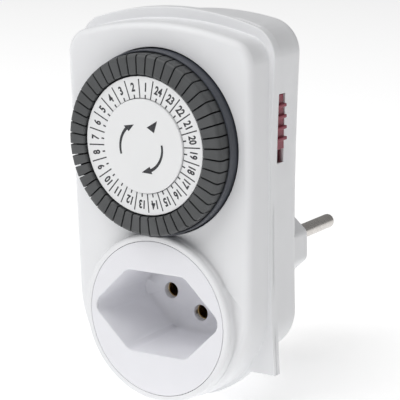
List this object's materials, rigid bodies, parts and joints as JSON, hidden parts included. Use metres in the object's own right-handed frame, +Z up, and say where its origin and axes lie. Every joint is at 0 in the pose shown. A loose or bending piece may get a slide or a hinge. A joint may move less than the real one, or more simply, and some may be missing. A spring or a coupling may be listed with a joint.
{
  "type": "timer switch",
  "caption": "Plug-in mechanical timer switch: arched case, round dial with push-in tappets, recessed hexagonal outlet below it, side override slider and a pin plug on the back",
  "frame": {"origin": "midway between the two upper plug pins, on the plug boss's end face that meets the wall outlet", "axes": "+X to the right as seen from the dial side, +Y back into the wall along the plug pins, +Z up towards the dial"},
  "size_m": [0.06, 0.0786, 0.1034],
  "materials": {
    "case_plastic": "satin moulded white",
    "insert_plastic": "satin moulded white",
    "chassis_plastic": "moulded light grey",
    "dial_plastic": "moulded dark grey",
    "tappet_plastic": "moulded dark grey",
    "disc_plastic": "printed white",
    "slider_plastic": "moulded red",
    "gear_plastic": "natural acetal",
    "switch_plastic": "moulded black",
    "steel": "zinc plated",
    "coil_copper": "enamelled winding",
    "rotor_magnet": "sintered magnet",
    "pin_nickel": "nickel plated",
    "contact_brass": "stamped brass"
  },
  "bodies": {
    "case": {"front_cover": "case_plastic", "rear_cover": "case_plastic", "socket_insert": "insert_plastic", "chassis": "chassis_plastic", "centre_disc": "disc_plastic", "dial_axle": "steel", "motor_case": "steel", "motor_cover": "steel", "motor_coil": "coil_copper", "micro_switch_body": "switch_plastic", "lever_axle": "steel", "live_pin": "pin_nickel", "neutral_pin": "pin_nickel", "earth_pin": "pin_nickel", "live_contact": "contact_brass", "neutral_contact": "contact_brass", "earth_contact": "contact_brass", "live_busbar": "contact_brass", "switched_busbar": "contact_brass", "neutral_busbar": "contact_brass", "earth_busbar": "contact_brass", "case_screws": "steel", "chassis_screws": "steel"},
    "dial": {"dial_wheel": "dial_plastic", "number_disc": "disc_plastic", "dial_gear": "gear_plastic"},
    "pinion": {"output_pinion": "gear_plastic"},
    "rotor": {"motor_rotor": "rotor_magnet"},
    "lever": {"follower_lever": "gear_plastic"},
    "button": {"micro_switch_button": "slider_plastic"},
    "slider": {"override_slider": "slider_plastic"},
    "tappet_01_pair": {"tappet_01": "tappet_plastic"},
    "tappet_02_pair": {"tappet_02": "tappet_plastic"},
    "tappet_03_pair": {"tappet_03": "tappet_plastic"},
    "tappet_04_pair": {"tappet_04": "tappet_plastic"},
    "tappet_05_pair": {"tappet_05": "tappet_plastic"},
    "tappet_06_pair": {"tappet_06": "tappet_plastic"},
    "tappet_07_pair": {"tappet_07": "tappet_plastic"},
    "tappet_08_pair": {"tappet_08": "tappet_plastic"},
    "tappet_09_pair": {"tappet_09": "tappet_plastic"},
    "tappet_10_pair": {"tappet_10": "tappet_plastic"},
    "tappet_11_pair": {"tappet_11": "tappet_plastic"},
    "tappet_12_pair": {"tappet_12": "tappet_plastic"},
    "tappet_13_pair": {"tappet_13": "tappet_plastic"},
    "tappet_14_pair": {"tappet_14": "tappet_plastic"},
    "tappet_15_pair": {"tappet_15": "tappet_plastic"},
    "tappet_16_pair": {"tappet_16": "tappet_plastic"},
    "tappet_17_pair": {"tappet_17": "tappet_plastic"},
    "tappet_18_pair": {"tappet_18": "tappet_plastic"},
    "tappet_19_pair": {"tappet_19": "tappet_plastic"},
    "tappet_20_pair": {"tappet_20": "tappet_plastic"},
    "tappet_21_pair": {"tappet_21": "tappet_plastic"},
    "tappet_22_pair": {"tappet_22": "tappet_plastic"},
    "tappet_23_pair": {"tappet_23": "tappet_plastic"},
    "tappet_24_pair": {"tappet_24": "tappet_plastic"}
  },
  "joints": [
    {"name": "dial_turn", "type": "hinge", "parent": "case", "child": "dial", "pos_m": [0, -0.05, 0.0345], "axis": [0, 1, 0], "continuous": true},
    {"name": "pinion_turn", "type": "hinge", "parent": "case", "child": "pinion", "pos_m": [-0.01309, -0.0468, 0.04206], "axis": [0, 1, 0], "continuous": true},
    {"name": "rotor_turn", "type": "hinge", "parent": "case", "child": "rotor", "pos_m": [-0.003, -0.036, 0.04], "axis": [0, 1, 0], "continuous": true},
    {"name": "lever_tip", "type": "hinge", "parent": "case", "child": "lever", "pos_m": [0.00921, -0.0425, 0.006], "axis": [-1, 0, 0], "range_deg": [0, 6]},
    {"name": "button_press", "type": "slide", "parent": "case", "child": "button", "axis": [0, 1, 0], "range_m": [0, 0.00079], "stiffness_N_per_m": 400},
    {"name": "slider_slide", "type": "slide", "parent": "case", "child": "slider", "axis": [0, 0, -1], "range_m": [0, 0.0035]},
    {"name": "tappet_01_push", "type": "slide", "parent": "dial", "child": "tappet_01_pair", "axis": [0, 1, 0], "range_m": [0, 0.002]},
    {"name": "tappet_02_push", "type": "slide", "parent": "dial", "child": "tappet_02_pair", "axis": [0, 1, 0], "range_m": [0, 0.002]},
    {"name": "tappet_03_push", "type": "slide", "parent": "dial", "child": "tappet_03_pair", "axis": [0, 1, 0], "range_m": [0, 0.002]},
    {"name": "tappet_04_push", "type": "slide", "parent": "dial", "child": "tappet_04_pair", "axis": [0, 1, 0], "range_m": [0, 0.002]},
    {"name": "tappet_05_push", "type": "slide", "parent": "dial", "child": "tappet_05_pair", "axis": [0, 1, 0], "range_m": [0, 0.002]},
    {"name": "tappet_06_push", "type": "slide", "parent": "dial", "child": "tappet_06_pair", "axis": [0, 1, 0], "range_m": [0, 0.002]},
    {"name": "tappet_07_push", "type": "slide", "parent": "dial", "child": "tappet_07_pair", "axis": [0, 1, 0], "range_m": [0, 0.002]},
    {"name": "tappet_08_push", "type": "slide", "parent": "dial", "child": "tappet_08_pair", "axis": [0, 1, 0], "range_m": [0, 0.002]},
    {"name": "tappet_09_push", "type": "slide", "parent": "dial", "child": "tappet_09_pair", "axis": [0, 1, 0], "range_m": [0, 0.002]},
    {"name": "tappet_10_push", "type": "slide", "parent": "dial", "child": "tappet_10_pair", "axis": [0, 1, 0], "range_m": [0, 0.002]},
    {"name": "tappet_11_push", "type": "slide", "parent": "dial", "child": "tappet_11_pair", "axis": [0, 1, 0], "range_m": [0, 0.002]},
    {"name": "tappet_12_push", "type": "slide", "parent": "dial", "child": "tappet_12_pair", "axis": [0, 1, 0], "range_m": [0, 0.002]},
    {"name": "tappet_13_push", "type": "slide", "parent": "dial", "child": "tappet_13_pair", "axis": [0, 1, 0], "range_m": [0, 0.002]},
    {"name": "tappet_14_push", "type": "slide", "parent": "dial", "child": "tappet_14_pair", "axis": [0, 1, 0], "range_m": [0, 0.002]},
    {"name": "tappet_15_push", "type": "slide", "parent": "dial", "child": "tappet_15_pair", "axis": [0, 1, 0], "range_m": [0, 0.002]},
    {"name": "tappet_16_push", "type": "slide", "parent": "dial", "child": "tappet_16_pair", "axis": [0, 1, 0], "range_m": [0, 0.002]},
    {"name": "tappet_17_push", "type": "slide", "parent": "dial", "child": "tappet_17_pair", "axis": [0, 1, 0], "range_m": [0, 0.002]},
    {"name": "tappet_18_push", "type": "slide", "parent": "dial", "child": "tappet_18_pair", "axis": [0, 1, 0], "range_m": [0, 0.002]},
    {"name": "tappet_19_push", "type": "slide", "parent": "dial", "child": "tappet_19_pair", "axis": [0, 1, 0], "range_m": [0, 0.002]},
    {"name": "tappet_20_push", "type": "slide", "parent": "dial", "child": "tappet_20_pair", "axis": [0, 1, 0], "range_m": [0, 0.002]},
    {"name": "tappet_21_push", "type": "slide", "parent": "dial", "child": "tappet_21_pair", "axis": [0, 1, 0], "range_m": [0, 0.002]},
    {"name": "tappet_22_push", "type": "slide", "parent": "dial", "child": "tappet_22_pair", "axis": [0, 1, 0], "range_m": [0, 0.002]},
    {"name": "tappet_23_push", "type": "slide", "parent": "dial", "child": "tappet_23_pair", "axis": [0, 1, 0], "range_m": [0, 0.002]},
    {"name": "tappet_24_push", "type": "slide", "parent": "dial", "child": "tappet_24_pair", "axis": [0, 1, 0], "range_m": [0, 0.002]}
  ],
  "couplings": [
    {"joint": "pinion_turn", "follows": "dial_turn", "ratio": -4},
    {"joint": "lever_tip", "follows": "button_press", "rad_per_m": 131.58}
  ]
}
